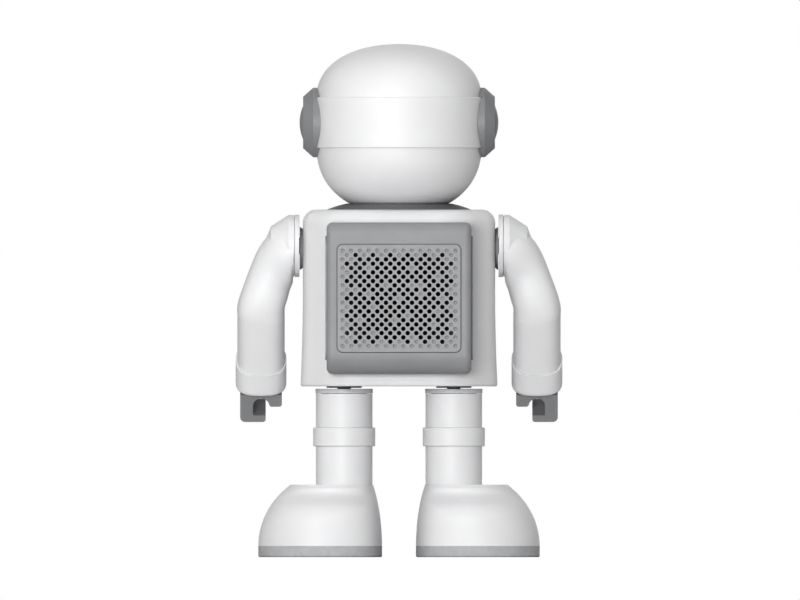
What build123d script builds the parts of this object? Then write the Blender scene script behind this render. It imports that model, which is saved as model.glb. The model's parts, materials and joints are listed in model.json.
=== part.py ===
from build123d import *
import os
from math import cos, radians, sin, sqrt, tan

# Free-standing astronaut robot with a loudspeaker in its backpack.
# Millimetres. +Z is up, the robot faces +Y, and its own right side is on +X.
# The origin is on the floor under the middle of the overall box.

# ---------------------------------------------------------------- heights
sole_top = 4.1
foot_top = 26.8
leg_top = 60.5
hip_top = 62.3
torso_bottom = 63.2
torso_top = 128.7
head_bottom = 130.7
band_bottom = 151.5
band_top = 170.4
head_top = 190.0
ear_z = (band_bottom + band_top) / 2
shoulder_z = 115.3

# ---------------------------------------------------------------- plan
spine_y = -1.5
leg_x = 20.3
leg_y = -3.5
foot_y = 1.0

# ---------------------------------------------------------------- widths and walls
torso_half_width = 35.6
hem_half_width = 36.5
torso_depth = 52.0
torso_wall = 2.2
torso_back_half_flat = 23.5
torso_corner_slant = 50.0
torso_front_round = 6.0
torso_back_round = 16.0
torso_side_round = 12.0
torso_crown_round = 5.0
backpack_half_width = 26.8
backpack_bottom = 67.8
backpack_top = 123.9
backpack_depth = 13.0
backpack_root = 5.0
grille_half_width = 23.0
grille_bottom = 75.7
grille_top = 115.9
head_radius = 30.55
head_wall = 2.0
band_radius = 31.7
band_seat_radius = 30.0
ear_radius = 12.87
ear_hub_radius = 10.0
leg_radius = 10.46
arm_half_width = 8.75
cuff_half_width = 9.4
arm_tilt = 28.0

# ---------------------------------------------------------------- fits
gap = 0.3
clearance = 0.05
screw_radius = 1.0

torso_back_y = spine_y - torso_depth / 2
torso_front_y = spine_y + torso_depth / 2
backpack_back_y = torso_back_y - backpack_depth
speaker_z = (grille_bottom + grille_top) / 2
hip_radius = 2.45
neck_radius = 8.0
wrist_radius = 4.0
axle_radius = 3.0

# Handles of a cubic that stand in for the quarter of each rounded outline.
round_handle = 0.5523
squircle_handle = 0.709
helmet_handle = 0.60

# Forearm frame: the wrist axis leaves the elbow's end downwards and forwards.
elbow_end = Vector(51.1, spine_y + 1.6, 90.2)
wrist_dir = Vector(0, sin(radians(arm_tilt)), -cos(radians(arm_tilt)))
cuff_rim_s = 19.3
cuff_rim_tilt = 40.0
cuff_end_s = 30.4
hand_thickness = 13.2


def save(node, shape):
    """Writes one piece, or one group of equal pieces, to its own file."""
    export_step(shape, f"parts/{node}.step")


def mirrored(shape):
    return mirror(shape, about=Plane.YZ)


def both_sides(node, shape):
    """The shape is the robot's right piece, and its mirror image is the left one."""
    save(f"{node}_right", shape)
    save(f"{node}_left", mirrored(shape))


def cylinder_z(radius, z_low, z_high, x=0.0, y=spine_y):
    return Pos(x, y, z_low) * extrude(Circle(radius), z_high - z_low)


def cylinder_y(radius, y_low, y_high, x=0.0, z=0.0):
    face = Plane(origin=(x, y_low, z), x_dir=(1, 0, 0), z_dir=(0, 1, 0)) * Circle(radius)
    return extrude(face, y_high - y_low)


def cylinder_x(radius, x_low, x_high, y=spine_y, z=0.0):
    face = Plane(origin=(x_low, y, z), x_dir=(0, 1, 0), z_dir=(1, 0, 0)) * Circle(radius)
    return extrude(face, x_high - x_low)


def block(x_range, y_range, z_range):
    size = [high - low for low, high in (x_range, y_range, z_range)]
    middle = [(high + low) / 2 for low, high in (x_range, y_range, z_range)]
    return Pos(*middle) * Box(*size)


def turned_z(outline, y=spine_y):
    """Solid of revolution about a vertical axis, from an outline of (radius, height)."""
    return Pos(0, y, 0) * revolve(Plane.XZ * outline, Axis.Z)


def turned_x(points, z):
    """Solid of revolution about a crosswise axis, from points of (|x|, radius)."""
    face = Plane.XY * make_face(Polyline(*points, close=True))
    return Pos(0, spine_y, z) * revolve(face, Axis.X)


def squircle(half_width, half_height, handle):
    """Rounded square outline: four cubics whose handles set how square it is."""
    quarters = []
    corners = [(1, 0), (0, 1), (-1, 0), (0, -1)]
    for (x1, y1), (x2, y2) in zip(corners, corners[1:] + corners[:1]):
        start = (half_width * x1, half_height * y1)
        end = (half_width * x2, half_height * y2)
        out = (start[0] + handle * half_width * x2, start[1] + handle * half_height * y2)
        back = (end[0] + handle * half_width * x1, end[1] + handle * half_height * y1)
        quarters.append(Bezier(start, out, back, end))
    return make_face(quarters)


def rounded_plate(half_width, half_height, corner, thickness, y_low, z):
    """Plate with rounded corners that lies in a plane facing along Y."""
    plane = Plane(origin=(0, y_low, z), x_dir=(1, 0, 0), z_dir=(0, 1, 0))
    face = plane * RectangleRounded(2 * half_width, 2 * half_height, corner)
    return extrude(face, thickness)


def screw_y(x, z, y_head, length, head_radius=2.0, head_height=1.4):
    """Pan head screw along +Y, with its head's top at y_head and a cross recess."""
    head = cylinder_y(head_radius, y_head, y_head + head_height, x, z)
    shank = cylinder_y(screw_radius, y_head + head_height, y_head + head_height + length, x, z)
    slot_x = block((x - 1.1, x + 1.1), (y_head - 1, y_head + 0.7), (z - 0.25, z + 0.25))
    slot_z = block((x - 0.25, x + 0.25), (y_head - 1, y_head + 0.7), (z - 1.1, z + 1.1))
    return head + shank - slot_x - slot_z


# ---------------------------------------------------------------- head
def helmet_curve(z_base, z_pole, radius):
    """Quarter of the helmet's outline from its rim at z_base to its pole on the axis."""
    rise = z_pole - z_base
    return Bezier(
        (radius, z_base),
        (radius, z_base + helmet_handle * rise),
        (helmet_handle * radius, z_pole),
        (0, z_pole),
    )


bowl_pole = band_bottom - 24.8


def helmet_cap(z_base, z_pole, radius):
    """Solid half of the helmet, from its rim to its pole."""
    curve = helmet_curve(z_base, z_pole, radius)
    down = Line((0, z_pole), (0, z_base))
    across = Line((0, z_base), (radius, z_base))
    return turned_z(make_face([curve, down, across]))


def make_head_dome():
    outer = helmet_cap(band_top, head_top, head_radius)
    inner = helmet_cap(band_top, head_top - head_wall, head_radius - head_wall)
    return outer - inner


def make_head_bowl():
    floor_top = head_bottom + 2.6
    outer = helmet_cap(band_bottom, bowl_pole, head_radius)
    inner = helmet_cap(band_bottom, bowl_pole + head_wall, head_radius - head_wall)
    inner -= block((-40, 40), (-45, 45), (100, floor_top))
    outer -= block((-40, 40), (-45, 45), (100, head_bottom))
    bowl = outer - inner - cylinder_z(neck_radius + clearance, 120, 140)
    for x, y in flange_screw_places():
        bowl -= cylinder_z(screw_radius + 0.02, head_bottom + 0.8, 140, x, y)
    return bowl


def flange_screw_places():
    reach = 11.2
    return [(reach * cos(radians(a)), spine_y + reach * sin(radians(a))) for a in (30, 150, 270)]


def ring(r_inner, r_outer, z_low, z_high):
    return cylinder_z(r_outer, z_low, z_high) - cylinder_z(r_inner, z_low, z_high)


board_back = 20.0
face_window = dict(x_range=(-21.5, 21.5), y_range=(0, 60), z_range=(ear_z - 7.6, ear_z + 7.6))


def make_head_frame():
    """Ring inside the helmet that joins bowl and dome and seats the band and the visor."""
    frame = ring(26.4, 28.1, band_bottom - 3, band_top + 3)
    frame += ring(26.4, band_seat_radius, band_bottom, band_top)
    frame -= block(**face_window)
    for side in (-1, 1):
        frame -= cylinder_x(5.0, side * 32 - 8, side * 32 + 8, z=ear_z)
    # Rails beside the window carry the circuit board, with a foot on the ring at each end.
    for side in (-1, 1):
        x_range = (side * 15.5 - 1.5, side * 15.5 + 1.5)
        frame += block(x_range, (spine_y + 17.5, spine_y + board_back), (band_bottom, band_top))
        for z_range in ((band_bottom, ear_z - 7.6), (ear_z + 7.6, band_top)):
            frame += block(x_range, (spine_y + board_back, spine_y + 21.8), z_range)
    return frame


def band_ring():
    full = ring(band_seat_radius + clearance, band_radius, band_bottom, band_top)
    rims = full.edges().filter_by(GeomType.CIRCLE).sort_by(lambda e: e.radius)[-2:]
    full = fillet(rims, 0.5)
    for side in (-1, 1):
        full -= cylinder_x(ear_hub_radius + 0.15, side * 30 - 8, side * 30 + 8, z=ear_z)
    return full


def make_band_and_visor():
    full = band_ring()
    back_half = block((-40, 40), (spine_y - 45, spine_y), (140, 180))
    front_half = block((-40, 40), (spine_y, spine_y + 45), (140, 180))
    return full & back_half, full & front_half


eye_x = 10.5
eye_radius = 5.0
board_front = board_back + 1.4


def make_face_panel():
    """Dark bezel that fills the window behind the visor, with a round hole for each eye."""
    inset = 0.1
    panel = ring(27.6, band_seat_radius - 0.15, ear_z - 7.5, ear_z + 7.5)
    panel &= block((-21.5 + inset, 21.5 - inset), (0, 60), (ear_z - 7.5, ear_z + 7.5))
    for side in (-1, 1):
        panel -= cylinder_y(eye_radius, 0, 50, side * eye_x, ear_z)
    return panel


def make_eye_lens(side):
    x = side * eye_x
    body = cylinder_y(eye_radius - 0.1, spine_y + 23.4, spine_y + 25.7, x, ear_z)
    rims = body.edges().filter_by(GeomType.CIRCLE).sort_by(Axis.Y)[-1:]
    body = fillet(rims, 1.2)
    foot = cylinder_y(eye_radius - 0.6, spine_y + board_front + 1.1, spine_y + 23.4, x, ear_z)
    return body + foot


def make_eye_board():
    back = spine_y + board_back
    front = spine_y + board_front
    board = block((-16.4, 16.4), (back, front), (ear_z - 6.5, ear_z + 6.5))
    for side in (-1, 1):
        x = side * eye_x
        board += block((x - 1.8, x + 1.8), (front, front + 1.0), (ear_z - 1.8, ear_z + 1.8))
    return board


cup_face_x = 35.5
cup_shoulder_x = 31.8
cup_face_radius = 9.54
cup_cap_radius = 6.24


def make_ear_cup():
    """Conical cup whose back is shaped to the helmet and whose hub fills the band's notch."""
    cup = turned_x(
        [
            (25, 0),
            (25, ear_radius),
            (cup_shoulder_x, ear_radius),
            (cup_face_x, cup_face_radius),
            (cup_face_x, 0),
        ],
        ear_z,
    )
    grow = clearance
    helmet = helmet_cap(band_top - 0.1, head_top + grow, head_radius + grow)
    helmet += helmet_cap(band_bottom + 0.1, bowl_pole - grow, head_radius + grow)
    helmet += cylinder_z(band_seat_radius + grow, band_bottom - 1, band_top + 1)
    belt = cylinder_z(band_radius + grow, band_bottom - grow, band_top + grow)
    belt -= cylinder_x(ear_hub_radius, 10, 40, z=ear_z)
    cup -= helmet + belt
    cup -= cylinder_x(cup_cap_radius + 0.02, cup_face_x - 1.5, 40, z=ear_z)
    cup = cup.solids().sort_by(SortBy.VOLUME)[-1]
    return cup


def make_ear_cap():
    """Low dome in the middle of the cup."""
    bulge = 1.3
    foot = cup_face_x - 1.5
    dome_radius = (cup_cap_radius**2 + bulge**2) / (2 * bulge)
    dome = Pos(cup_face_x + bulge - dome_radius, spine_y, ear_z) * Sphere(dome_radius)
    return cylinder_x(cup_cap_radius, foot, cup_face_x + bulge + 1, z=ear_z) & dome


neck_foot = 121.5


def make_head_spindle():
    """Flanged tube that turns in the torso's top and lets the cables through."""
    floor_top = head_bottom + 2.6
    spindle = cylinder_z(14.0, floor_top, floor_top + 1.6)
    spindle += cylinder_z(neck_radius, neck_foot, floor_top)
    spindle -= cylinder_z(5.2, neck_foot - 1, floor_top + 3)
    # Groove for the retaining ring.
    spindle -= ring(neck_radius - 0.8, neck_radius + 1, neck_foot + 0.9, neck_foot + 2.5)
    for x, y in flange_screw_places():
        spindle -= cylinder_z(screw_radius + 0.1, floor_top - 1, floor_top + 3, x, y)
    return spindle


def make_neck_retainer():
    """Open snap ring in the spindle's groove."""
    retainer = ring(neck_radius - 0.78, neck_radius + 3.2, neck_foot + 0.95, neck_foot + 2.45)
    return retainer - block((-3.5, 3.5), (spine_y, spine_y + 20), (100, 130))


def make_head_screws():
    top = head_bottom + 2.6 + 1.6
    screws = []
    for x, y in flange_screw_places():
        head = cylinder_z(1.9, top, top + 1.3, x, y)
        shank = cylinder_z(screw_radius, head_bottom + 0.9, top, x, y)
        slot_x = block((x - 1.1, x + 1.1), (y - 0.25, y + 0.25), (top + 0.6, top + 2))
        slot_y = block((x - 0.25, x + 0.25), (y - 1.1, y + 1.1), (top + 0.6, top + 2))
        screws.append(head + shank - slot_x - slot_y)
    return Compound(children=screws)


# ---------------------------------------------------------------- torso
def rear_corner_wedge(inset):
    """What the slanted corner takes off the torso's right rear upright edge."""
    slant = radians(torso_corner_slant)
    back = torso_back_y + inset
    start = torso_back_half_flat - inset * (1 - cos(slant)) / sin(slant)
    reach = hem_half_width + 4 - start
    beyond = start + reach
    corners = [(start, back), (beyond, back + reach * tan(slant)), (beyond, back - 5), (start, back - 5)]
    face = Plane.XY.offset(50) * make_face(Polyline(*corners, close=True))
    return extrude(face, 90)


def upright_edges(body, y_low, y_high):
    uprights = body.edges().filter_by(lambda e: abs(e.tangent_at(0.5).Z) > 0.9)
    return uprights.filter_by(lambda e: y_low < e.center().Y < y_high)


def torso_block(inset):
    """Rounded torso, or the hollow in it when inset by the wall."""
    top = torso_top - inset
    bottom = torso_bottom + inset
    flare_start = 98.0
    side = torso_half_width - inset
    hem = hem_half_width - inset
    right = Line((side, top), (side, flare_start))
    flare = TangentArc((side, flare_start), (hem, bottom), tangent=(0, -1))
    left = mirror(right, about=Plane.YZ)
    left_flare = mirror(flare, about=Plane.YZ)
    across_top = Line((side, top), (-side, top))
    across_bottom = Line((hem, bottom), (-hem, bottom))
    outline = make_face([right, flare, left, left_flare, across_top, across_bottom])
    depth = torso_depth - 2 * inset
    body = extrude(Plane.XZ.offset(-(spine_y + depth / 2)) * outline, depth)
    wedge = rear_corner_wedge(inset)
    body = body - wedge - mirrored(wedge)
    back = spine_y - depth / 2
    body = fillet(upright_edges(body, 0, 60), torso_front_round - inset / 2)
    body = fillet(upright_edges(body, back - 1, back + 1), torso_back_round - inset)
    body = fillet(upright_edges(body, back + 9, -9), torso_side_round - inset)
    crown = body.edges().group_by(Axis.Z)[-1]
    body = fillet(crown, torso_crown_round - inset / 2)
    if inset == 0:
        hem_edges = body.edges().group_by(Axis.Z)[0]
        body = fillet(hem_edges, 0.9)
    return body


post_places = [(x, z) for x in (-18.0, 18.0) for z in (73.6, 118.0)]
pack_screw_places = [(x, z) for x in (-9.5, 9.5) for z in (72.2, 119.4)]
seam_y = spine_y


def torso_shell():
    shell = torso_block(0) - torso_block(torso_wall)
    shell -= cylinder_z(neck_radius + clearance, 120, 140)
    for side in (-1, 1):
        shell -= cylinder_x(6.0, side * 35 - 5, side * 35 + 5, z=shoulder_z)
        shell -= cylinder_z(hip_radius + clearance, 60, 70, side * leg_x, leg_y)
    return shell


def make_torso_back_shell(shell):
    back = shell & block((-50, 50), (-60, seam_y - 0.06), (60, 132))
    back -= cylinder_y(17.0, -40, -20, 0, speaker_z)
    for x, z in driver_screw_places():
        back += cylinder_y(2.2, driver_y + flange_thickness, torso_back_y + 0.5, x, z)
        back -= cylinder_y(screw_radius + 0.02, driver_y, driver_y + 7.5, x, z)
    for x, z in post_places:
        back += cylinder_y(4.2, torso_back_y + torso_wall, torso_back_y + 4.2, x, z)
        back -= cylinder_y(screw_radius + 0.15, -40, -15, x, z)
        back -= cylinder_y(2.3, -40, torso_back_y + 1.8, x, z)
    for x, z in pack_screw_places:
        back -= cylinder_y(screw_radius + 0.15, -40, -15, x, z)
    # Way through for the cables from the side controls.
    back -= block((20.5, 23.5), (-40, -20), (90, 102))
    return back


def make_torso_front_shell(shell):
    front = shell & block((-50, 50), (seam_y + 0.06, 60), (60, 132))
    post_back = torso_back_y + 4.25
    for x, z in post_places:
        post = cylinder_y(3.2, post_back, torso_front_y - torso_wall, x, z)
        front += post - cylinder_y(screw_radius + 0.02, post_back - 1, post_back + 12, x, z)
    front -= rounded_plate(17.0, 9.0, 3.0, 3, torso_front_y - 0.8, 101.0)
    front -= cylinder_y(2.2, torso_front_y - 6, torso_front_y + 1, 0, 101.0)
    return front


def make_torso_screws():
    length = 13.0
    screws = [screw_y(x, z, torso_back_y + 0.4, length) for x, z in post_places]
    return Compound(children=screws)


def make_chest_panel():
    panel = rounded_plate(16.9, 8.9, 2.9, 1.5, torso_front_y - 0.8, 101.0)
    outer = panel.faces().sort_by(Axis.Y)[-1].edges()
    panel = fillet(outer, 0.5)
    return panel - cylinder_y(2.15, torso_front_y - 3, torso_front_y + 3, 0, 101.0)


def make_status_light():
    light = cylinder_y(2.1, torso_front_y - 4.0, torso_front_y + 0.9, 0, 101.0)
    rims = light.edges().filter_by(GeomType.CIRCLE).sort_by(Axis.Y)[-1:]
    return fillet(rims, 0.8)


collar_radius = 26.7
collar_depth = 21.3
collar_mouth = 19.3
collar_rise = 2.2
collar_bulge = 0.77


def make_neck_collar():
    """Low oval cone, slightly domed, that turns into a round mouth under the helmet."""
    sections = []
    for height in (0.0, 0.25, 0.5, 0.75, 1.0):
        spread = (1 - height) ** collar_bulge
        wide = collar_mouth + (collar_radius - collar_mouth) * spread
        deep = collar_mouth + (collar_depth - collar_mouth) * spread
        z = torso_top + collar_rise * height
        sections.append(Pos(0, spine_y, z) * squircle(wide, deep, round_handle))
    collar = loft(sections, ruled=True)
    collar -= cylinder_z(collar_mouth - 0.25, head_bottom - gap, 140)
    return collar - cylinder_z(neck_radius + clearance, 120, 140)


boss_face = 36.73
boss_drop = 1.0


def make_shoulder_boss():
    """Cone beside the torso, set a little low, on a sleeve through the wall that carries the axle."""
    start = torso_half_width + 0.02
    cone = turned_x([(start, 0), (start, 7.2), (boss_face, 7.95), (boss_face, 0)], shoulder_z - boss_drop)
    boss = cone + cylinder_x(5.95, 30, boss_face, z=shoulder_z)
    return boss - cylinder_x(axle_radius + clearance, 20, 50, z=shoulder_z)


def make_hip_washers():
    washers = []
    for side in (-1, 1):
        x = side * leg_x
        washer = cylinder_z(6.5, torso_bottom - 0.5, torso_bottom, x, leg_y)
        washers.append(washer - cylinder_z(hip_radius + clearance, 60, 70, x, leg_y))
    return Compound(children=washers)


# ---------------------------------------------------------------- backpack
strip_bottom = 73.0
strip_top = 118.9
strip_y = torso_back_y - 5.4
button_z = [84.0, 92.0, 100.0, 108.0]
port_z = 84.0
button_board_bottom = 80.0
button_board_top = 112.0


def backpack_block(inset):
    """Housing with a small radius over its top and a large one under its bottom."""
    half = backpack_half_width - inset
    low = backpack_bottom + inset
    high = backpack_top - inset
    back = backpack_back_y + inset
    front = torso_back_y + backpack_root
    top_round = 3.7 - inset / 2
    bottom_round = 7.4 - inset / 2
    outline = make_face(
        [
            Line((front, low), (back + bottom_round, low)),
            TangentArc((back + bottom_round, low), (back, low + bottom_round), tangent=(-1, 0)),
            Line((back, low + bottom_round), (back, high - top_round)),
            TangentArc((back, high - top_round), (back + top_round, high), tangent=(0, 1)),
            Line((back + top_round, high), (front, high)),
            Line((front, high), (front, low)),
        ]
    )
    body = extrude(Plane.YZ.offset(-half) * outline, 2 * half)
    if inset == 0:
        sides = body.faces().filter_by(Axis.X)
        rims = [e for face in sides for e in face.edges() if e.bounding_box().min.Y < front - 0.01]
        body = fillet(rims, 2.2)
    return body


def side_slot(half_y, half_z, x_low, x_high, z):
    """Round-ended bar along X, for a button or for the slot that it moves in."""
    plane = Plane(origin=(x_low, strip_y, z), x_dir=(0, 1, 0), z_dir=(1, 0, 0))
    return extrude(plane * RectangleRounded(2 * half_y, 2 * half_z, half_y - 0.01), x_high - x_low)


def make_backpack_housing():
    wall = 2.2
    face_wall = 3.2
    hollow = backpack_block(wall) & block((-40, 40), (backpack_back_y + face_wall, 0), (60, 130))
    housing = backpack_block(0) - hollow
    half_width = grille_half_width
    half_height = (grille_top - grille_bottom) / 2
    y = backpack_back_y - 1
    # Pocket that the grille lies in, and the opening behind it.
    housing -= rounded_plate(half_width + 0.08, half_height + 0.08, 2.28, 2.8, y, speaker_z)
    housing -= rounded_plate(half_width - 1.6, half_height - 1.6, 1.5, 8.0, y, speaker_z)
    for x, z in pack_screw_places:
        housing += cylinder_y(2.6, backpack_back_y + face_wall - 0.2, torso_back_y, x, z)
        housing -= cylinder_y(screw_radius + 0.02, torso_back_y - 6, torso_back_y + 1, x, z)
    # Shallow seats for the side strips, slots for the buttons and the socket's opening.
    strip_mid = (strip_bottom + strip_top) / 2
    strip_half = (strip_top - strip_bottom) / 2
    for side in (-1, 1):
        x_low, x_high = sorted((side * (backpack_half_width - 0.6), side * (backpack_half_width + 1)))
        housing -= side_slot(3.15, strip_half + 0.1, x_low, x_high, strip_mid)
    for z in button_z:
        housing -= side_slot(1.75, 2.75, 20, 30, z)
    housing -= side_slot(1.85, 4.75, -30, -24, port_z)
    # Ledges above and below the buttons' circuit board.
    for z_range in ((78.7, button_board_bottom - 0.05), (button_board_top + 0.05, 113.3)):
        housing += block((19.8, backpack_half_width - wall + 0.1), (strip_y - 3.0, strip_y + 3.0), z_range)
    # Its sides run forward to the torso's slanted corners.
    return housing - torso_block(0)


def make_side_strip(side):
    """Trim strip that stands half a millimetre proud of the housing's side."""
    x_low, x_high = sorted((side * (backpack_half_width - 0.6), side * (backpack_half_width + 0.5)))
    mid = (strip_bottom + strip_top) / 2
    strip = side_slot(3.0, (strip_top - strip_bottom) / 2, x_low, x_high, mid)
    if side > 0:
        for z in button_z:
            strip -= side_slot(1.75, 2.75, 20, 30, z)
    else:
        strip -= side_slot(1.85, 4.75, -30, -24, port_z)
    return strip


button_face = backpack_half_width + 0.45


def make_button(z):
    """Pill button with a flange behind the housing's wall that keeps it in."""
    inner_wall = backpack_half_width - 2.2
    cap = side_slot(1.6, 2.6, inner_wall - gap - 0.8, button_face, z)
    outer = cap.faces().sort_by(Axis.X)[-1].edges()
    cap = fillet(outer, 0.3)
    return cap + side_slot(2.4, 3.4, inner_wall - gap - 0.8, inner_wall - gap, z)


def make_button_board():
    """Circuit board behind the buttons, with a dome switch under each."""
    x_face = 22.0
    heights = (button_board_bottom, button_board_top)
    board = block((20.8, x_face), (strip_y - 3.0, strip_y + 3.0), heights)
    for z in button_z:
        board += cylinder_x(1.2, x_face, x_face + 0.6, y=strip_y, z=z)
    return board


def make_charge_port():
    """Charging socket: a metal shell with a tongue in its mouth."""
    shell = side_slot(1.65, 4.5, -backpack_half_width - 0.3, -19.5, port_z)
    shell -= side_slot(1.3, 4.15, -backpack_half_width - 1, -21.0, port_z)
    tongue = block((-26.0, -20.8), (strip_y - 0.35, strip_y + 0.35), (port_z - 3.3, port_z + 3.3))
    return shell + tongue


# ---------------------------------------------------------------- grille
hole_radius = 0.775
column_pitch = 3.214
row_pitch = 1.606
row_count = 23
grille_thickness = 1.7
dimple_depth = 0.45
# A dimple widens by this much for each millimetre towards its mouth.
dimple_slope = 1.1

# Blind dimples inside the field of open holes, as (row, place in the row).
blind_inside = {
    (4, 3), (4, 8), (6, 11), (8, 5), (8, 8), (8, 9), (9, 1), (10, 3), (10, 9), (11, 6),
    (11, 11), (13, 3), (14, 11), (15, 7), (16, 2), (16, 6), (17, 10), (19, 3), (20, 8),
}


def hole_is_blind(row, place, count):
    """The edge of the pattern is dimples, with a stepped edge in its first and last rows."""
    last_row = row_count - 1
    if row in (0, last_row):
        return True
    if row in (1, last_row - 1):
        return place % 2 == 0
    if count == 14 and place in (0, 13):
        return True
    if row in (2, last_row - 2) and place in (1, 12):
        return True
    if row in (5, 9, 13, 17) and place in (0, 12):
        return True
    return (row, place) in blind_inside


def make_speaker_grille():
    half_height = (grille_top - grille_bottom) / 2
    plate = rounded_plate(
        grille_half_width, half_height, 2.2, grille_thickness, backpack_back_y + 0.05, speaker_z
    )
    rim = plate.faces().sort_by(Axis.Y)[0].edges()
    plate = fillet(rim, 0.35)
    open_holes = []
    dimples = []
    for row in range(row_count):
        count = 14 if row % 2 == 0 else 13
        z = speaker_z + row_pitch * ((row_count - 1) / 2 - row)
        for place in range(count):
            x = column_pitch * (place - (count - 1) / 2)
            if hole_is_blind(row, place, count):
                dimples.append((x, z))
            else:
                open_holes.append((x, z))
    front = Plane(origin=(0, backpack_back_y - 1, 0), x_dir=(1, 0, 0), z_dir=(0, 1, 0))
    # The plane's own Y runs down the object, so heights change sign on it.
    open_faces = [front * Pos(x, -z) * Circle(hole_radius) for x, z in open_holes]
    cutters = [extrude(face, grille_thickness + 3) for face in open_faces]
    surplus = 0.1
    height = dimple_depth + surplus
    mouth = hole_radius + surplus * dimple_slope
    cone = Cone(mouth, mouth - height * dimple_slope, height)
    middle = 1.05 - surplus + height / 2
    cutters += [front * Pos(x, -z, middle) * cone for x, z in dimples]
    return plate - cutters


# ---------------------------------------------------------------- loudspeaker
driver_y = backpack_back_y + 4.4
flange_thickness = 1.2


def driver_screw_places():
    reach = 15.9
    return [(x, speaker_z + z) for x in (-reach, reach) for z in (-reach, reach)]


def turned_y(points):
    """Solid of revolution about the loudspeaker's axis, from points of (radius, y)."""
    face = make_face(Polyline(*points, close=True))
    solid = revolve(face, Axis.Y)
    return Pos(0, 0, speaker_z) * solid


def make_speaker_basket():
    """Pressed basket: a square-eared flange, a sloping wall with windows and a magnet seat."""
    flange_back = driver_y + flange_thickness
    flange = turned_y([(16.4, driver_y), (20.2, driver_y), (20.2, flange_back), (16.4, flange_back)])
    ears = []
    for x, z in driver_screw_places():
        ears.append(cylinder_y(2.6, driver_y, flange_back, x, z))
    wall = turned_y(
        [
            (17.4, flange_back), (18.6, flange_back), (13.6, driver_y + 11.0),
            (0, driver_y + 11.0), (0, driver_y + 10.0), (12.8, driver_y + 10.0),
        ]
    )
    basket = flange + ears + wall
    for x, z in driver_screw_places():
        basket -= cylinder_y(screw_radius + 0.1, driver_y - 2, driver_y + 3, x, z)
    for turn in range(4):
        window = block((-5.0, 5.0), (driver_y + 3.0, driver_y + 8.6), (8, 24))
        basket -= Pos(0, 0, speaker_z) * Rot(0, 45 + 90 * turn, 0) * window
    basket -= cylinder_y(5.0, driver_y + 5, driver_y + 15, 0, speaker_z)
    return basket


def make_speaker_cone():
    """Paper cone with its dust dome and voice coil."""
    return turned_y(
        [
            (14.6, driver_y + 0.4), (14.6, driver_y + 0.9), (5.4, driver_y + 6.2), (4.7, driver_y + 6.2),
            (4.7, driver_y + 9.5), (4.3, driver_y + 9.5), (4.3, driver_y + 5.9), (0, driver_y + 4.4),
            (0, driver_y + 3.9), (3.0, driver_y + 4.3), (5.0, driver_y + 5.4),
        ]
    )


def make_speaker_surround():
    """Rubber half-roll between the cone and the flange."""
    foot = driver_y + 0.4
    crest = foot - 0.8
    thickness = 0.5
    inner, middle, outer = 14.6, 15.5, 16.4
    outline = make_face(
        [
            ThreePointArc((inner, foot), (middle, crest), (outer, foot)),
            Line((outer, foot), (outer, foot + thickness)),
            ThreePointArc((outer, foot + thickness), (middle, crest + thickness), (inner, foot + thickness)),
            Line((inner, foot + thickness), (inner, foot)),
        ]
    )
    return Pos(0, 0, speaker_z) * revolve(outline, Axis.Y)


def make_speaker_magnet():
    """Magnet ring between its two steel plates."""
    start = driver_y + 11.0
    return turned_y(
        [
            (5.2, start), (13.0, start), (13.0, start + 1.0), (14.0, start + 1.0), (14.0, start + 6.5),
            (13.0, start + 6.5), (13.0, start + 8.0), (0, start + 8.0), (0, start + 7.0), (5.2, start + 7.0),
        ]
    )


def make_driver_screws():
    screws = []
    for x, z in driver_screw_places():
        screws.append(screw_y(x, z, driver_y - 1.2, 7.0, 1.9, 1.2))
    return Compound(children=screws)


def make_pack_screws():
    """Screws from inside the torso that hold the backpack on."""
    screws = []
    inside = torso_back_y + torso_wall
    for x, z in pack_screw_places:
        head = cylinder_y(1.9, inside, inside + 1.3, x, z)
        shank = cylinder_y(screw_radius, torso_back_y - 5, inside, x, z)
        slot = block((x - 1.1, x + 1.1), (inside + 0.6, inside + 3), (z - 0.25, z + 0.25))
        screws.append(head + shank - slot)
    return Compound(children=screws)


# ---------------------------------------------------------------- electronics
# Both lie between the posts of the torso's front half.
board_half_width = 14.4


def make_battery():
    across = (-board_half_width, board_half_width)
    pack = block(across, (torso_front_y - 11.2, torso_front_y - torso_wall), (66.2, 92.0))
    rounds = pack.edges().filter_by(Axis.X)
    return fillet(rounds, 1.2)


def make_main_board():
    y_low = torso_front_y - 14.5
    board = block((-board_half_width, board_half_width), (y_low, y_low + 1.6), (66.5, 112.0))
    board += block((-6, 6), (y_low - 1.2, y_low), (84, 96))
    board += block((-14, -9), (y_low - 2.4, y_low), (100, 108))
    board += cylinder_y(3.0, y_low - 6.0, y_low, 11.0, 103.0)
    board += cylinder_y(3.0, y_low - 6.0, y_low, 11.0, 94.5)
    return board


# ---------------------------------------------------------------- arms
def sleeve_section(inner, outer, half_depth, handle):
    """Section square to the sleeve's path, between its inner and outer sides at (|x|, z)."""
    inner, outer = (Vector(x, spine_y, z) for x, z in (inner, outer))
    across = outer - inner
    flow = Vector(0, 1, 0).cross(across)
    plane = Plane(origin=(inner + outer) * 0.5, x_dir=across, z_dir=flow)
    return plane * squircle(across.length / 2, half_depth, handle)


def forearm_plane(s):
    """Plane square to the forearm, s along it from the elbow, with +X kept crosswise."""
    return Plane(origin=elbow_end + wrist_dir * s, x_dir=(1, 0, 0), z_dir=wrist_dir)


def forearm_bar(half_width, s_low, s_high, handle=squircle_handle):
    return extrude(forearm_plane(s_low) * squircle(half_width, half_width, handle), s_high - s_low)


def forearm_round(radius, s_low, s_high):
    return extrude(forearm_plane(s_low) * Circle(radius), s_high - s_low)


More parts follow.
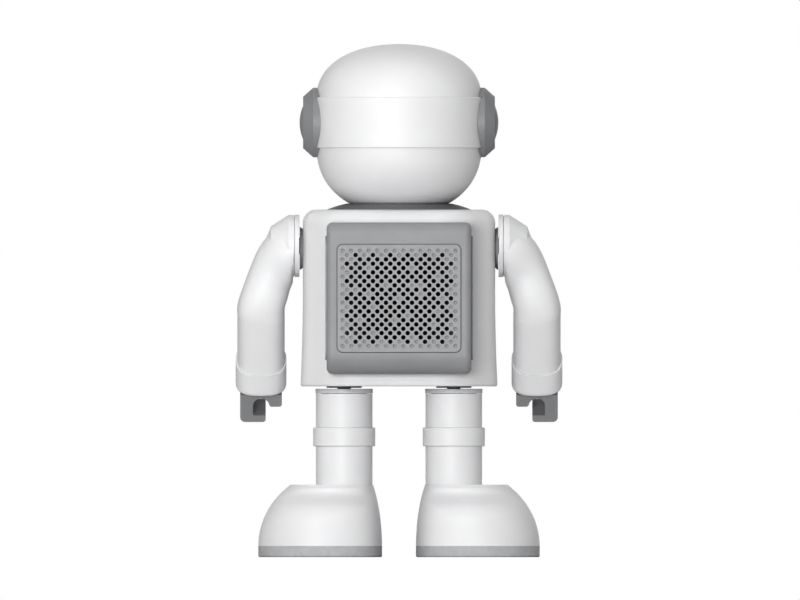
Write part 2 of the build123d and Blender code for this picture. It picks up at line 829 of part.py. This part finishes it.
def below_cuff_rim(offset=0.0):
    """Half-space past the sloping rim of the cuff."""
    steep = radians(cuff_rim_tilt)
    normal = Vector(0, sin(steep), -cos(steep))
    origin = elbow_end + wrist_dir * (cuff_rim_s + offset)
    return extrude(Plane(origin=origin, x_dir=(1, 0, 0), z_dir=normal) * Rectangle(60, 60), 60)


arm_joint_x = 38.8


# Sleeve's sections from the shoulder down: inner side, outer side, half depth and squareness.
sleeve_sections = [
    ((39.1, 104.6), (39.1, 122.4), 11.45, 0.62),
    ((39.3, 102.4), (45.4, 121.2), 11.1, 0.62),
    ((39.7, 100.7), (50.8, 116.2), 10.0, 0.60),
    ((40.4, 99.0), (54.2, 109.6), 8.9, 0.60),
    ((41.5, 95.0), (57.7, 100.4), 8.7, 0.66),
]
elbow_start = Vector(50.85, spine_y + 0.4, 93.9)
elbow_start_tilt = 14.0
hub_radius = 11.4
hub_bevel_radius = 7.2


def make_shoulder_hub():
    """Disc with a bevelled outer side that the sleeve grows out of."""
    profile = [
        (arm_joint_x, 0),
        (arm_joint_x, hub_radius),
        (40.9, hub_radius),
        (47.45, hub_bevel_radius),
        (48.9, 3.4),
        (48.9, 0),
    ]
    return turned_x(profile, shoulder_z)


def make_arm_shell():
    """Hub at the shoulder and the sleeve from it over the elbow to the wrist."""
    lean = radians(elbow_start_tilt)
    elbow_plane = Plane(origin=elbow_start, x_dir=(1, 0, 0), z_dir=(0.1, sin(lean), -cos(lean)))
    sections = [sleeve_section(*section) for section in sleeve_sections]
    sections.append(elbow_plane * squircle(8.7, 8.7, 0.70))
    sections.append(forearm_plane(0) * squircle(arm_half_width, arm_half_width, squircle_handle))
    arm = loft(sections) + make_shoulder_hub()
    arm += forearm_bar(arm_half_width, 0, cuff_rim_s + 12) - below_cuff_rim()
    arm += forearm_bar(7.4, 10.0, cuff_end_s - 1.8)
    arm -= forearm_round(6.0, 2.0, cuff_end_s)
    arm -= cylinder_x(axle_radius + 0.02, 30, arm_joint_x + 6.0, z=shoulder_z)
    return arm


def make_cuff():
    """Glove cuff with a sloping upper rim and a rounded lower end."""
    cuff = forearm_bar(cuff_half_width, 0, cuff_end_s)
    low_rim = cuff.faces().sort_by(lambda f: -((f.center() - elbow_end).dot(wrist_dir)))[0].edges()
    cuff = fillet(low_rim, 1.6)
    cuff &= below_cuff_rim(clearance)
    cuff -= forearm_bar(7.45, 0, cuff_end_s - 1.75)
    return cuff - forearm_round(wrist_radius + clearance, 0, cuff_end_s + 5)


def rounded_corner(before, corner, after):
    """Quarter circle that rounds a square corner off between the two points beside it."""
    before, corner, after = Vector(*before), Vector(*corner), Vector(*after)
    centre = before + after - corner
    outwards = (corner - centre).normalized()
    return ThreePointArc(before, centre + outwards * (before - centre).length, after)


def make_claw_outline():
    """Hooked finger, arched grip and short thumb, as (|x|, distance along the wrist)."""
    outer, inner = 58.8, 43.4
    base, finger_end, thumb_end = cuff_end_s + gap, 42.0, 35.6
    hook_tip, hook_floor = 49.4, 39.3
    grip_outer, grip_top, grip_inner = 54.1, 32.2, 48.1
    tip_radius, hook_radius, floor_radius, thumb_radius = 1.9, 1.1, 0.6, 1.0
    grip_middle = (grip_outer + grip_inner) / 2
    grip_spring = grip_top + (grip_outer - grip_inner) / 2
    thumb_heel = (47.0, thumb_end)
    side_end = (outer, finger_end - tip_radius)
    tip_start = (outer - tip_radius, finger_end)
    tip_end = (hook_tip + hook_radius, finger_end)
    hook_side = (hook_tip, finger_end - hook_radius)
    floor_start = (hook_tip, hook_floor)
    floor_end = (grip_outer - floor_radius, hook_floor)
    grip_side = (grip_outer, hook_floor - floor_radius)
    arch_start = (grip_outer, grip_spring)
    arch_end = (grip_inner, grip_spring - 0.6)
    thumb_end_inner = (inner + thumb_radius, thumb_end)
    thumb_side = (inner, thumb_end - thumb_radius)
    return make_face(
        [
            Line((outer, base), side_end),
            rounded_corner(side_end, (outer, finger_end), tip_start),
            Line(tip_start, tip_end),
            rounded_corner(tip_end, (hook_tip, finger_end), hook_side),
            Line(hook_side, floor_start),
            Line(floor_start, floor_end),
            rounded_corner(floor_end, (grip_outer, hook_floor), grip_side),
            Line(grip_side, arch_start),
            ThreePointArc(arch_start, (grip_middle, grip_top), arch_end),
            ThreePointArc(arch_end, (47.8, thumb_end - 0.3), thumb_heel),
            Line(thumb_heel, thumb_end_inner),
            rounded_corner(thumb_end_inner, (inner, thumb_end), thumb_side),
            Line(thumb_side, (inner, base)),
            Line((inner, base), (outer, base)),
        ]
    )


def make_hand():
    """Claw of one thickness, and the split peg that snaps into the cuff."""
    # Crosswise distances are measured from the robot's middle, so the plane starts there.
    start = Vector(0, elbow_end.Y, elbow_end.Z)
    plane = Plane(origin=start, x_dir=(1, 0, 0), z_dir=Vector(1, 0, 0).cross(wrist_dir))
    claw = extrude(plane * make_claw_outline(), hand_thickness / 2, both=True)
    peg = forearm_round(wrist_radius, cuff_end_s - 4.2, cuff_end_s + gap)
    peg += forearm_round(wrist_radius + 0.7, cuff_end_s - 3.6, cuff_end_s - 1.75 - gap)
    split = extrude(forearm_plane(cuff_end_s - 6) * Rectangle(1.2, 20), 5.4)
    return claw + (peg - split)


ring_inner_x = 36.9


def make_shoulder_ring():
    disc = cylinder_x(11.56, ring_inner_x, arm_joint_x - 0.12, z=shoulder_z)
    rims = disc.edges().filter_by(GeomType.CIRCLE)
    disc = fillet(rims, 0.3)
    disc += cylinder_x(10.9, arm_joint_x - 0.2, arm_joint_x, z=shoulder_z)
    return disc - cylinder_x(axle_radius + 0.02, 30, 45, z=shoulder_z)


def make_shoulder_axle():
    """Steel pin with a head inside the torso, pressed into the arm."""
    axle = cylinder_x(axle_radius, 28.2, arm_joint_x + 5.8, z=shoulder_z)
    return axle + cylinder_x(5.2, 28.2, 29.7, z=shoulder_z)


# ---------------------------------------------------------------- legs and feet
def heel_set_in(z):
    """How far the heel has moved forward at one height: upright, rounded, slanted, then an ankle rim."""
    round_start = 12.6
    round_radius = 9.3
    steepest = radians(53.0)
    hollow_end = 25.0
    hollow_radius = 3.4
    slant_start = round_start + round_radius * sin(steepest)
    slant_end = hollow_end - hollow_radius * sin(steepest)
    set_in = 0.0
    if z > round_start:
        rise = min(z, slant_start) - round_start
        set_in += round_radius - sqrt(round_radius**2 - rise**2)
    if z > slant_start:
        set_in += (min(z, slant_end) - slant_start) * tan(steepest)
    if z > slant_end:
        below = hollow_end - min(z, hollow_end)
        set_in += sqrt(hollow_radius**2 - below**2) - hollow_radius * cos(steepest)
    return set_in


def foot_section(z, inset=0.0):
    """Plan outline of the shoe at one height: a round heel and outside, a straighter inside, a long toe."""
    rise = z - sole_top
    outer = 31.8 * sqrt(1 - (rise / 29.0) ** 2)
    inner = 14.0 * sqrt(1 - (rise / 35.0) ** 2)
    heel = foot_y + 23.6 - heel_set_in(z) - inset
    toe = 9.5 + 30.0 * sqrt(1 - (rise / 23.6) ** 2) - inset
    middle = 1.9 + 0.53 * (outer - 19.8)
    to_outside = outer - middle - inset
    to_inside = inner + middle - inset
    quarters = [
        (to_outside, -heel, round_handle),
        (to_outside, toe, 0.62),
        (-to_inside, toe, squircle_handle),
        (-to_inside, -heel, squircle_handle),
    ]
    curves = []
    for across, along, handle in quarters:
        side = (across, 0)
        side_out = (across, handle * along)
        end_out = (handle * across, along)
        curves.append(Bezier(side, side_out, end_out, (0, along)))
    return Pos(leg_x + middle, foot_y, z) * make_face(curves)


foot_steps = 19
foot_heights = [sole_top + (foot_top - sole_top) * step / foot_steps for step in range(foot_steps + 1)]


def make_foot_upper():
    shoe = loft([foot_section(z) for z in foot_heights])
    hollow = loft([foot_section(z, 2.2) for z in foot_heights if z < foot_top - 2.0])
    rim = shoe.faces().sort_by(Axis.Z)[-1].edges()
    shoe = fillet(rim, 0.4)
    return shoe - hollow - cylinder_z(6.05, 20, 30, leg_x, leg_y)


def make_sole():
    plate = extrude(foot_section(sole_top), -sole_top)
    edge = plate.faces().sort_by(Axis.Z)[0].edges()
    plate = fillet(edge, 0.6)
    # Raised rim inside the shoe locates the sole.
    rib = extrude(foot_section(sole_top, 2.4), 1.6) - extrude(foot_section(sole_top, 4.0), 1.6)
    return plate + rib


def make_leg_tube():
    tube = cylinder_z(leg_radius, foot_top, leg_top, leg_x, leg_y)
    tube += cylinder_z(6.0, foot_top - 3.4, foot_top, leg_x, leg_y)
    tube -= cylinder_z(leg_radius - 2.0, foot_top + 2.0, leg_top, leg_x, leg_y)
    return tube - cylinder_z(4.0, 20, foot_top + 3, leg_x, leg_y)


def make_leg_ring():
    band = cylinder_z(11.5, 41.0, 48.0, leg_x, leg_y)
    band = fillet(band.edges().filter_by(GeomType.CIRCLE), 0.5)
    return band - cylinder_z(leg_radius + clearance, 40, 50, leg_x, leg_y)


def make_leg_cap():
    """Lid of the leg tube with the hip's snap spindle."""
    cap = cylinder_z(leg_radius + 0.15, leg_top + 0.1, hip_top, leg_x, leg_y)
    cap = fillet(cap.edges().filter_by(GeomType.CIRCLE), 0.2)
    cap += cylinder_z(leg_radius - 2.06, leg_top - 4, leg_top + 0.2, leg_x, leg_y)
    cap -= cylinder_z(leg_radius - 4.0, leg_top - 5, leg_top - 0.6, leg_x, leg_y)
    inside = torso_bottom + torso_wall
    cap += cylinder_z(hip_radius, hip_top - 0.5, inside + 3.2, leg_x, leg_y)
    cap += cylinder_z(hip_radius + 0.9, inside + gap, inside + 1.9, leg_x, leg_y)
    slot = block((leg_x - 0.5, leg_x + 0.5), (leg_y - 6, leg_y + 6), (inside - 1.2, inside + 5))
    return cap - slot


# ---------------------------------------------------------------- writing
def write_head():
    save("head_dome", make_head_dome())
    save("head_bowl", make_head_bowl())
    save("head_frame", make_head_frame())
    band, visor = make_band_and_visor()
    save("head_band", band)
    save("visor_lens", visor)
    save("face_panel", make_face_panel())
    save("eye_lenses", Compound(children=[make_eye_lens(1), make_eye_lens(-1)]))
    save("eye_board", make_eye_board())
    both_sides("ear_cup", make_ear_cup())
    ear_cap = make_ear_cap()
    save("ear_caps", Compound(children=[ear_cap, mirrored(ear_cap)]))
    save("head_spindle", make_head_spindle())
    save("neck_retainer", make_neck_retainer())
    save("head_screws", make_head_screws())


def write_torso():
    shell = torso_shell()
    save("torso_back_shell", make_torso_back_shell(shell))
    save("torso_front_shell", make_torso_front_shell(shell))
    save("torso_screws", make_torso_screws())
    save("chest_panel", make_chest_panel())
    save("status_light", make_status_light())
    save("neck_collar", make_neck_collar())
    boss = make_shoulder_boss()
    save("shoulder_bosses", Compound(children=[boss, mirrored(boss)]))
    save("hip_washers", make_hip_washers())
    save("backpack_housing", make_backpack_housing())
    save("side_strip_right", make_side_strip(1))
    save("side_strip_left", make_side_strip(-1))
    save("button_board", make_button_board())
    save("charge_port", make_charge_port())
    save("speaker_grille", make_speaker_grille())
    save("speaker_basket", make_speaker_basket())
    save("speaker_cone", make_speaker_cone())
    save("speaker_surround", make_speaker_surround())
    save("speaker_magnet", make_speaker_magnet())
    save("driver_screws", make_driver_screws())
    save("backpack_screws", make_pack_screws())
    save("battery", make_battery())
    save("main_board", make_main_board())
    names = ("volume_down_button", "play_button", "volume_up_button", "power_button")
    for name, z in zip(names, button_z):
        save(name, make_button(z))


def write_limbs():
    both_sides("arm_shell", make_arm_shell())
    both_sides("cuff", make_cuff())
    both_sides("hand", make_hand())
    both_sides("shoulder_ring", make_shoulder_ring())
    both_sides("shoulder_axle", make_shoulder_axle())
    both_sides("foot_upper", make_foot_upper())
    both_sides("sole", make_sole())
    both_sides("leg_tube", make_leg_tube())
    both_sides("leg_ring", make_leg_ring())
    both_sides("leg_cap", make_leg_cap())


os.makedirs("parts", exist_ok=True)
write_head()
write_torso()
write_limbs()
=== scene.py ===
import json
import math

import bmesh
import bpy
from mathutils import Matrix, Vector


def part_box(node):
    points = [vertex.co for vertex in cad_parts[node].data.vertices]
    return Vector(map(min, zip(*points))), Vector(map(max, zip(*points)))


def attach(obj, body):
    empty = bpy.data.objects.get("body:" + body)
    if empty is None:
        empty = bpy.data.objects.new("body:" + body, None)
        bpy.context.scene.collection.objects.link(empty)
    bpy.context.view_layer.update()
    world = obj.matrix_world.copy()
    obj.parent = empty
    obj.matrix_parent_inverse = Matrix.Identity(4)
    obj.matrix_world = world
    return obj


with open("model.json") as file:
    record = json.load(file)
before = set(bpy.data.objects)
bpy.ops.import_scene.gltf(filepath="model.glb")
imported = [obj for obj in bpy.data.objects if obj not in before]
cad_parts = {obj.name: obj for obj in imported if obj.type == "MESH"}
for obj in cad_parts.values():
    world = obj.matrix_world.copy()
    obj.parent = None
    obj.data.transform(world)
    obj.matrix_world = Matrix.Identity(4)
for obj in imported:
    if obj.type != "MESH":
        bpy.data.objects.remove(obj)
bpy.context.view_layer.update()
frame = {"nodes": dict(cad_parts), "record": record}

# Looks of the astronaut speaker robot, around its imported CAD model.
# Metres, +Z up; the robot faces +Y and its own right side is on +X.

MM = 0.001
PLASTIC_IOR = 1.49
MARK_SLOT = "pale_grey_trim"


# ------------------------------------------------------------------ node helpers
def start_material(name):
    """Material with only a Principled shader and an output, and its node tree."""
    material = bpy.data.materials.new(name)
    material.use_nodes = True
    tree = material.node_tree
    tree.nodes.clear()
    output = tree.nodes.new("ShaderNodeOutputMaterial")
    shader = tree.nodes.new("ShaderNodeBsdfPrincipled")
    tree.links.new(shader.outputs["BSDF"], output.inputs["Surface"])
    return material, tree, shader


def fill(tree, node, **inputs):
    """Fills inputs of a node, each by a socket or a value; _0 is its first input, _1 its second."""
    for key, value in inputs.items():
        place = int(key[1:]) if key[0] == "_" else key.replace("_", " ")
        if isinstance(value, bpy.types.NodeSocket):
            tree.links.new(value, node.inputs[place])
        else:
            node.inputs[place].default_value = value


def add(tree, kind, **inputs):
    """New node with its inputs filled in."""
    node = tree.nodes.new(kind)
    fill(tree, node, **inputs)
    return node


def object_coordinates(tree):
    return tree.nodes.new("ShaderNodeTexCoord").outputs["Object"]


def mapped(tree, where, **change):
    """Coordinates that are scaled or turned."""
    return add(tree, "ShaderNodeMapping", Vector=where, **change).outputs["Vector"]


def noise(tree, where, grain, detail=3.0, roughness=0.5):
    """Noise whose lumps are about the given size in metres, from 0 to 1."""
    settings = {"Scale": 1.0 / grain, "Detail": detail, "Roughness": roughness}
    return add(tree, "ShaderNodeTexNoise", Vector=where, **settings).outputs["Fac"]


def spread(tree, value, low=0.0, high=1.0, start=0.3, end=0.7):
    """The value's range from start to end, stretched to run from low to high."""
    limits = {"From_Min": start, "From_Max": end, "To_Min": low, "To_Max": high}
    return add(tree, "ShaderNodeMapRange", Value=value, **limits).outputs["Result"]


def tinted(tree, factor, first, second):
    """Mix of two colours."""
    node = tree.nodes.new("ShaderNodeMix")
    node.data_type = "RGBA"
    fill(tree, node, Factor=factor, A=(*first, 1.0), B=(*second, 1.0))
    return node.outputs["Result"]


def scaled(colour, factor):
    return [min(1.0, part * factor) for part in colour]


def mottled(tree, value, colour, darkest, lightest, **window):
    """The colour, from darkest to lightest times its own brightness as the value rises."""
    factor = spread(tree, value, **window)
    return tinted(tree, factor, scaled(colour, darkest), scaled(colour, lightest))


def bump(tree, height, depth, under=None):
    """Relief of the given depth in metres, over another relief if there is one."""
    node = add(tree, "ShaderNodeBump", Height=height, Distance=depth, Strength=1.0)
    if under is not None:
        fill(tree, node, Normal=under)
    return node.outputs["Normal"]


# ------------------------------------------------------------------ materials
def moulded_plastic(slot, colour, roughness, grain=0.35 * MM, depth=0.010 * MM, cloud=0.03):
    """Moulded plastic: a fine spark-eroded grain, soft flow clouds and uneven gloss."""
    material, tree, shader = start_material(slot)
    where = object_coordinates(tree)
    flow = noise(tree, where, grain=14 * MM, detail=2.0)
    handled = noise(tree, where, grain=5 * MM, detail=4.0, roughness=0.6)
    pebbles = noise(tree, where, grain, detail=2.0)
    fill(
        tree,
        shader,
        Base_Color=mottled(tree, flow, colour, darkest=1.0 - cloud, lightest=1.0 + cloud),
        Roughness=spread(tree, handled, low=roughness - 0.05, high=roughness + 0.06),
        Normal=bump(tree, pebbles, depth),
        IOR=PLASTIC_IOR,
    )
    return material


def rubber(slot, colour):
    """Rubber with a coarse dull skin and scuffed patches."""
    material, tree, shader = start_material(slot)
    where = object_coordinates(tree)
    scuffs = noise(tree, where, grain=3 * MM, detail=6.0, roughness=0.7)
    skin = noise(tree, where, grain=0.5 * MM)
    fill(
        tree,
        shader,
        Base_Color=mottled(tree, scuffs, colour, darkest=1.0, lightest=1.12, start=0.4, end=0.75),
        Roughness=spread(tree, scuffs, low=0.62, high=0.8),
        Normal=bump(tree, skin, depth=0.03 * MM),
    )
    return material


def painted_steel(slot, colour, roughness):
    """Powder-like paint on sheet steel: orange peel over a finer fleck."""
    material, tree, shader = start_material(slot)
    where = object_coordinates(tree)
    peel = noise(tree, where, grain=1.2 * MM, detail=2.0)
    fleck = noise(tree, where, grain=0.15 * MM, detail=1.0)
    fine = bump(tree, fleck, depth=0.006 * MM)
    fill(
        tree,
        shader,
        Base_Color=mottled(tree, fleck, colour, darkest=0.96, lightest=1.05),
        Roughness=spread(tree, peel, low=roughness - 0.05, high=roughness + 0.05),
        Normal=bump(tree, peel, depth=0.012 * MM, under=fine),
    )
    return material


def plated_steel(slot, colour):
    """Zinc-plated steel with fine turned lines."""
    material, tree, shader = start_material(slot)
    where = mapped(tree, object_coordinates(tree), Scale=(1.0, 12.0, 1.0))
    lines = noise(tree, where, grain=0.8 * MM)
    fill(
        tree,
        shader,
        Base_Color=mottled(tree, lines, colour, darkest=0.9, lightest=1.08),
        Roughness=spread(tree, lines, low=0.28, high=0.42),
        Normal=bump(tree, lines, depth=0.006 * MM),
        Metallic=1.0,
    )
    return material


def pressed_paper(slot, colour):
    """Speaker cone: matt fibres in all directions."""
    material, tree, shader = start_material(slot)
    fibres = noise(tree, object_coordinates(tree), grain=0.6 * MM, detail=8.0, roughness=0.8)
    fill(
        tree,
        shader,
        Base_Color=mottled(tree, fibres, colour, darkest=0.7, lightest=1.4),
        Roughness=spread(tree, fibres, low=0.8, high=0.95),
        Normal=bump(tree, fibres, depth=0.05 * MM),
    )
    return material


def smoked_lens(slot, smoky, clearer):
    """Dark polished visor that the eyes shine through."""
    material, tree, shader = start_material(slot)
    where = object_coordinates(tree)
    haze = noise(tree, where, grain=9 * MM, detail=2.0)
    ripple = noise(tree, where, grain=12 * MM, detail=1.0)
    fill(
        tree,
        shader,
        Base_Color=tinted(tree, spread(tree, haze), smoky, clearer),
        Roughness=spread(tree, haze, low=0.02, high=0.05),
        Normal=bump(tree, ripple, depth=0.01 * MM),
        Transmission_Weight=1.0,
        IOR=PLASTIC_IOR,
    )
    return material


def lit_lens(slot, dimmer, brighter, glow):
    """Frosted light guide with a soft glow."""
    material, tree, shader = start_material(slot)
    frost = noise(tree, object_coordinates(tree), grain=0.4 * MM)
    tone = tinted(tree, spread(tree, frost), dimmer, brighter)
    fill(
        tree,
        shader,
        Base_Color=tone,
        Emission_Color=tone,
        Emission_Strength=glow,
        Roughness=spread(tree, frost, low=0.3, high=0.45),
        Normal=bump(tree, frost, depth=0.01 * MM),
    )
    return material


def circuit_board(slot):
    """Green solder mask with paler copper runs under it."""
    material, tree, shader = start_material(slot)
    where = object_coordinates(tree)
    runs = add(
        tree,
        "ShaderNodeTexBrick",
        Vector=mapped(tree, where, Rotation=(math.pi / 2, 0.0, 0.0)),
        Scale=1.0 / (9 * MM),
        Mortar_Size=0.03,
        Color1=(0.010, 0.060, 0.028, 1.0),
        Color2=(0.014, 0.075, 0.034, 1.0),
        Mortar=(0.05, 0.20, 0.09, 1.0),
    )
    mask = noise(tree, where, grain=1.0 * MM, detail=2.0)
    fill(
        tree,
        shader,
        Base_Color=runs.outputs["Color"],
        Roughness=spread(tree, mask, low=0.25, high=0.4),
        Normal=bump(tree, mask, depth=0.01 * MM),
    )
    return material


def plastic(*colour, roughness, **others):
    return moulded_plastic, {"colour": colour, "roughness": roughness, **others}


def paint(*colour, roughness):
    return painted_steel, {"colour": colour, "roughness": roughness}


def plain(maker, *colour):
    return maker, {"colour": colour}


LOOKS = {
    "white_shell": plastic(0.83, 0.83, 0.835, roughness=0.5, cloud=0.008),
    "grey_panel": plastic(0.38, 0.385, 0.40, roughness=0.42),
    "clear_lens": (
        lit_lens,
        {"dimmer": (0.80, 0.90, 0.98), "brighter": (0.88, 0.96, 1.0), "glow": 2.4},
    ),
    "dark_grey_trim": plastic(0.27, 0.272, 0.28, roughness=0.5),
    "pale_grey_trim": plastic(0.55, 0.555, 0.57, roughness=0.45),
    "leg_cap_grey": plastic(0.72, 0.725, 0.735, roughness=0.45),
    "backpack_grey": plastic(0.43, 0.432, 0.44, roughness=0.5, depth=0.016 * MM),
    "side_strip_grey": plastic(0.44, 0.445, 0.46, roughness=0.42),
    "grille_grey": paint(0.43, 0.432, 0.44, roughness=0.45),
    "button_grey": plastic(0.24, 0.245, 0.26, roughness=0.4),
    "ear_grey": plastic(0.38, 0.382, 0.39, roughness=0.42),
    "hand_grey": plastic(0.39, 0.392, 0.40, roughness=0.45),
    "sole_grey": plain(rubber, 0.56, 0.562, 0.57),
    "smoked_lens": (
        smoked_lens,
        {"smoky": (0.24, 0.25, 0.27), "clearer": (0.27, 0.28, 0.30)},
    ),
    "dark_plastic": plastic(0.02, 0.02, 0.022, roughness=0.55),
    "black_steel": paint(0.018, 0.018, 0.02, roughness=0.5),
    "steel": plain(plated_steel, 0.55, 0.55, 0.56),
    "circuit_board": (circuit_board, {}),
    "cone_paper": plain(pressed_paper, 0.02, 0.02, 0.022),
    "black_rubber": plain(rubber, 0.015, 0.015, 0.016),
    "magnet_iron": paint(0.09, 0.09, 0.095, roughness=0.55),
    "battery_wrap": plastic(0.05, 0.13, 0.32, roughness=0.3, grain=2 * MM),
}
materials = {slot: maker(slot, **look) for slot, (maker, look) in LOOKS.items()}

slot_of = {row["node"]: row["material_slot"] for row in frame["record"]["subparts"]}
for cad_node in frame["nodes"].values():
    cad_node.data.materials.clear()
    cad_node.data.materials.append(materials[slot_of[cad_node.name]])


# ------------------------------------------------------------------ marks on the buttons
# An outline holds (y, z) corners about the middle of its mark, in order round the shape.
def bar(width, height):
    """Outline of an upright rectangle."""
    y, z = width / 2, height / 2
    return [(-y, -z), (y, -z), (y, z), (-y, z)]


def cross(size, stroke):
    """Outline of a plus sign."""
    arm, half = size / 2, stroke / 2
    quarter = [(arm, -half), (arm, half), (half, half)]
    outline = []
    for turn in range(4):
        cos, sin = math.cos(turn * math.pi / 2), math.sin(turn * math.pi / 2)
        outline += [(y * cos - z * sin, y * sin + z * cos) for y, z in quarter]
    return outline


def open_ring(radius, stroke, half_gap, steps=28):
    """Outline of a ring with a gap at its top, half_gap radians to each side."""
    start = math.pi / 2 + half_gap
    sweep = 2 * math.pi - 2 * half_gap
    turns = [start + sweep * step / steps for step in range(steps + 1)]
    inner = radius - stroke
    outside = [(radius * math.cos(turn), radius * math.sin(turn)) for turn in turns]
    inside = [(inner * math.cos(turn), inner * math.sin(turn)) for turn in reversed(turns)]
    return outside + inside


def shifted(outline, up):
    return [(y, z + up) for y, z in outline]


def raised_mark(name, outlines, node, body):
    """Low raised mark in the middle of a button's outer face; it moves with the button."""
    root = 0.3 * MM
    height = 0.12 * MM
    shoulder = height * 0.7
    low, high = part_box(node)
    face_x = high[0]
    mid_y = (low[1] + high[1]) / 2
    mid_z = (low[2] + high[2]) / 2
    # Levels from inside the button to the narrowed top, each with its share of the full width.
    levels = ((face_x - root, 1.0), (face_x + shoulder, 1.0), (face_x + height, 0.94))
    mesh = bpy.data.meshes.new(name)
    shape = bmesh.new()
    for outline in outlines:
        centre_y = sum(y for y, z in outline) / len(outline)
        centre_z = sum(z for y, z in outline) / len(outline)
        rings = []
        for x, share in levels:
            ring = []
            for y, z in outline:
                across = centre_y + (y - centre_y) * share
                up = centre_z + (z - centre_z) * share
                ring.append(shape.verts.new((x, mid_y + across, mid_z + up)))
            rings.append(ring)
        for lower, upper in zip(rings, rings[1:]):
            for first in range(len(outline)):
                second = (first + 1) % len(outline)
                shape.faces.new((lower[first], lower[second], upper[second], upper[first]))
        shape.faces.new(rings[-1])
        shape.faces.new(list(reversed(rings[0])))
    bmesh.ops.recalc_face_normals(shape, faces=shape.faces)
    shape.to_mesh(mesh)
    shape.free()
    mesh.materials.append(materials[MARK_SLOT])
    piece = bpy.data.objects.new(name, mesh)
    bpy.context.scene.collection.objects.link(piece)
    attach(piece, body)


def make_button_marks():
    """Minus, triangle, plus, and an open ring with a stem."""
    size = 1.7 * MM
    stroke = 0.36 * MM
    back, tip, edge = -0.38 * size, 0.5 * size, 0.5 * size
    triangle = [(back, -edge), (tip, 0.0), (back, edge)]
    ring = open_ring(radius=size / 2, stroke=stroke, half_gap=0.5)
    stem = shifted(bar(width=stroke, height=0.55 * size), up=0.36 * size)
    marks = {
        "volume_down": [bar(width=size, height=stroke)],
        "play": [triangle],
        "volume_up": [cross(size, stroke)],
        "power": [ring, stem],
    }
    for name, outlines in marks.items():
        raised_mark(f"{name}_mark", outlines, f"{name}_button", f"{name}_key")


make_button_marks()


# ------------------------------------------------------------------ stage
def make_floor():
    """Wide pale floor that the soles stand on."""
    half = 3.0
    darker, lighter = (0.68, 0.68, 0.68), (0.71, 0.71, 0.71)
    mesh = bpy.data.meshes.new("studio_floor")
    corners = [(-half, -half, 0), (half, -half, 0), (half, half, 0), (-half, half, 0)]
    mesh.from_pydata(corners, [], [(0, 1, 2, 3)])
    floor = bpy.data.objects.new("studio_floor", mesh)
    bpy.context.scene.collection.objects.link(floor)
    material, tree, shader = start_material("studio_floor")
    clouds = noise(tree, object_coordinates(tree), grain=120 * MM)
    tone = tinted(tree, spread(tree, clouds), darker, lighter)
    fill(tree, shader, Base_Color=tone, Roughness=0.7)
    mesh.materials.append(material)


def make_world(ambient):
    """White backdrop for the camera, and a dimmer even light on the object."""
    white = (1.0, 1.0, 1.0, 1.0)
    world = bpy.data.worlds.new("studio")
    world.use_nodes = True
    tree = world.node_tree
    tree.nodes.clear()
    backdrop = add(tree, "ShaderNodeBackground", Color=white, Strength=1.0)
    light = add(tree, "ShaderNodeBackground", Color=white, Strength=ambient)
    seen = tree.nodes.new("ShaderNodeLightPath").outputs["Is Camera Ray"]
    mix = add(tree, "ShaderNodeMixShader", _0=seen, _1=light.outputs[0], _2=backdrop.outputs[0])
    add(tree, "ShaderNodeOutputWorld", Surface=mix.outputs[0])
    bpy.context.scene.world = world


def add_softbox(name, place, size, power):
    """Square area light at a place, turned towards the robot's chest."""
    chest = Vector((0, 0, 0.1))
    data = bpy.data.lights.new(name, "AREA")
    data.shape = "SQUARE"
    data.size = size
    data.energy = power
    light = bpy.data.objects.new(name, data)
    bpy.context.scene.collection.objects.link(light)
    light.location = place
    light.rotation_euler = (chest - Vector(place)).to_track_quat("-Z", "Y").to_euler()


def make_camera():
    """Level view from straight behind, with parallel rays."""
    data = bpy.data.cameras.new("camera")
    data.type = "ORTHO"
    data.ortho_scale = 296.3 * MM
    camera = bpy.data.objects.new("camera", data)
    bpy.context.scene.collection.objects.link(camera)
    camera.location = (0.37 * MM, -1.0, 95.2 * MM)
    camera.rotation_euler = (math.radians(90), 0, 0)
    bpy.context.scene.camera = camera


def make_stage():
    """Floor, lights and camera of a studio picture, and its tone."""
    make_floor()
    make_world(ambient=0.64)
    add_softbox("rear_key", place=(-0.3, -1.57, 0.17), size=0.45, power=12.5)
    add_softbox("left_fill", place=(-0.82, -1.32, 0.49), size=0.5, power=1.0)
    add_softbox("top_light", place=(0.0, -0.5, 1.5), size=0.6, power=2.0)
    add_softbox("front_key", place=(0.3, 1.5, 0.6), size=1.4, power=3.2)
    make_camera()
    settings = bpy.context.scene.view_settings
    settings.view_transform = "Standard"
    # Steeper than the usual tone curve, for crisp shading.
    settings.gamma = 0.6


make_stage()
